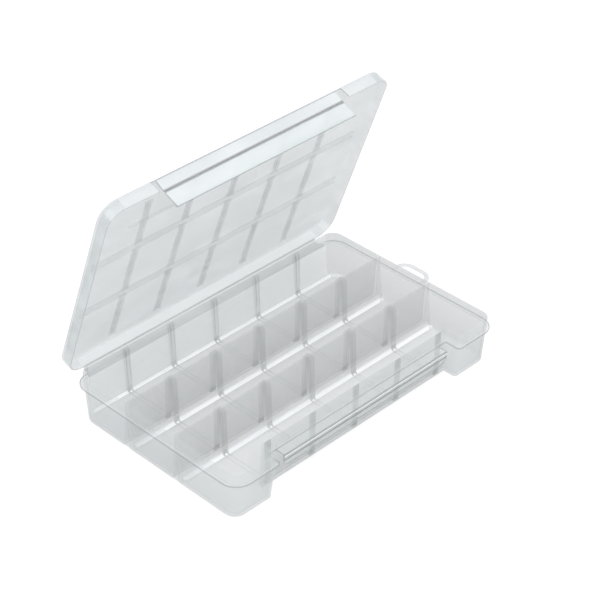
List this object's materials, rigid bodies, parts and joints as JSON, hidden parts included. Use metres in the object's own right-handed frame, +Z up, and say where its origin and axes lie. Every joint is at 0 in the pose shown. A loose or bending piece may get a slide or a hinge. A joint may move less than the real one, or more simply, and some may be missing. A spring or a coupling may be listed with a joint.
{
  "type": "compartment storage box",
  "caption": "Clear low storage box with long bays, divider slots, a hinged lid with a latch flap and a hanging loop.",
  "frame": {"origin": "on the underside of the middle bay's floor, below the middle divider slot and half way along the flange's depth", "axes": "+X along the long side towards the hanging loop, +Y from the latch to the hinge, +Z up"},
  "size_m": [0.2924, 0.1904, 0.2073],
  "materials": {
    "clear_plastic": "clear, faintly hazy moulded polypropylene"
  },
  "bodies": {
    "tray": {"catch_lip": "clear_plastic", "catch_shelf": "clear_plastic", "corner_back_left": "clear_plastic", "corner_back_right": "clear_plastic", "corner_front_left": "clear_plastic", "corner_front_right": "clear_plastic", "flange_back": "clear_plastic", "flange_corner_back_left": "clear_plastic", "flange_corner_back_right": "clear_plastic", "flange_corner_front_left": "clear_plastic", "flange_corner_front_right": "clear_plastic", "flange_front_left": "clear_plastic", "flange_front_right": "clear_plastic", "flange_left": "clear_plastic", "flange_return_left": "clear_plastic", "flange_return_right": "clear_plastic", "flange_right": "clear_plastic", "floor_bay_1": "clear_plastic", "floor_bay_2": "clear_plastic", "floor_bay_3": "clear_plastic", "floor_ribs_bay_1": "clear_plastic", "floor_ribs_bay_2": "clear_plastic", "floor_ribs_bay_3": "clear_plastic", "hanging_loop": "clear_plastic", "partition_1": "clear_plastic", "partition_2": "clear_plastic", "pocket_floor_left": "clear_plastic", "pocket_floor_right": "clear_plastic", "recess_side_left": "clear_plastic", "recess_side_right": "clear_plastic", "slot_ribs_partition_1": "clear_plastic", "slot_ribs_partition_2": "clear_plastic", "slot_ribs_wall_back": "clear_plastic", "slot_ribs_wall_recess": "clear_plastic", "tray_hinge_leaf": "clear_plastic", "wall_back": "clear_plastic", "wall_front_left": "clear_plastic", "wall_front_right": "clear_plastic", "wall_left": "clear_plastic", "wall_recess": "clear_plastic", "wall_right": "clear_plastic"},
    "lid": {"latch_strip": "clear_plastic", "lid_corner_back_left": "clear_plastic", "lid_corner_back_right": "clear_plastic", "lid_corner_front_left": "clear_plastic", "lid_corner_front_right": "clear_plastic", "lid_cross_ribs": "clear_plastic", "lid_hinge_leaf": "clear_plastic", "lid_plate": "clear_plastic", "lid_skirt_back": "clear_plastic", "lid_skirt_front_left": "clear_plastic", "lid_skirt_front_right": "clear_plastic", "lid_skirt_left": "clear_plastic", "lid_skirt_right": "clear_plastic", "lid_slot_ribs": "clear_plastic"},
    "latch": {"latch_bead": "clear_plastic", "latch_flap": "clear_plastic"}
  },
  "joints": [
    {"name": "lid_hinge", "type": "hinge", "parent": "tray", "child": "lid", "pos_m": [0, 0.0928, 0.0322], "axis": [-1, 0, 0], "range_deg": [-69.65, 110.35]},
    {"name": "latch_hinge", "type": "hinge", "parent": "lid", "child": "latch", "pos_m": [0, 0.03115, 0.20014], "axis": [-1, 0, 0], "range_deg": [-8, 110]}
  ]
}
